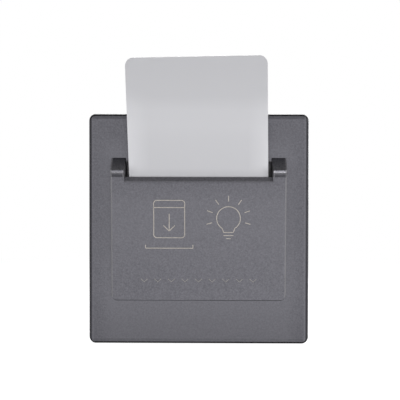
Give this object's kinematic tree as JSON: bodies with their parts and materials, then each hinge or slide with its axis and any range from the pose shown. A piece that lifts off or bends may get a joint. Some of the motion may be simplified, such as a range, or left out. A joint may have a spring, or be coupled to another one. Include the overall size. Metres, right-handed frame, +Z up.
{
  "type": "hotel key card switch",
  "caption": "Square grey wall plate with a sloping card holder between raised shoulders, a plain card leaning in its slot, and a lever-worked snap switch in a housing behind.",
  "frame": {"origin": "middle of the plate on the wall plane, midway between the wall box screws", "axes": "-Y is the front that faces the room, +Y goes into the wall box, +Z is up, +X is right as seen from the front"},
  "size_m": [0.086, 0.0536, 0.1115],
  "materials": {
    "metallic_grey": "fine metallic grey paint",
    "card_plastic": "satin pale card",
    "black_plastic": "plain black moulding",
    "dark_plastic": "dark relay cover",
    "white_plastic": "off-white moulding",
    "ivory_plastic": "natural acetal",
    "red_plastic": "red button",
    "yellow_plastic": "capacitor box",
    "blue_coating": "dipped coating",
    "board_green": "solder mask",
    "can_aluminium": "sleeved can",
    "zinc_steel": "zinc plated",
    "brass": "plain brass"
  },
  "bodies": {
    "base": {"front_plate": "metallic_grey", "card_holder": "metallic_grey", "card_guide": "black_plastic", "guide_screws": "zinc_steel", "mounting_frame": "zinc_steel", "fixing_screws": "zinc_steel", "mechanism_lid": "black_plastic", "mechanism_housing": "white_plastic", "mechanism_screws": "zinc_steel", "circuit_board": "board_green", "board_screws": "zinc_steel", "lever_pin": "zinc_steel", "return_spring": "zinc_steel", "micro_switch_case": "black_plastic", "micro_switch_pins": "brass", "relay": "dark_plastic", "dropper_capacitor": "yellow_plastic", "smoothing_capacitor": "can_aluminium", "surge_disc": "blue_coating", "bridge_rectifier": "black_plastic", "control_chip": "black_plastic", "terminal_blocks": "brass", "terminal_screws": "zinc_steel"},
    "card": {"key_card": "card_plastic"},
    "lever": {"actuator_lever": "ivory_plastic"},
    "button": {"micro_switch_button": "red_plastic"}
  },
  "joints": [
    {"name": "card_slide", "type": "slide", "parent": "base", "child": "card", "axis": [-0.0192, -0.2079, 0.978], "range_m": [0, 0.06]},
    {"name": "lever_pivot", "type": "hinge", "parent": "base", "child": "lever", "pos_m": [0, 0.004, -0.0184], "axis": [1, 0, 0], "range_deg": [-20, 0], "deforming": ["return_spring"]},
    {"name": "button_slide", "type": "slide", "parent": "base", "child": "button", "axis": [0, 0, -1], "range_m": [0, 0.0009]}
  ],
  "couplings": [
    {"joint": "lever_pivot", "follows": "card_slide", "rad_per_m": -5.8032},
    {"joint": "button_slide", "follows": "card_slide", "ratio": 0.014983}
  ]
}
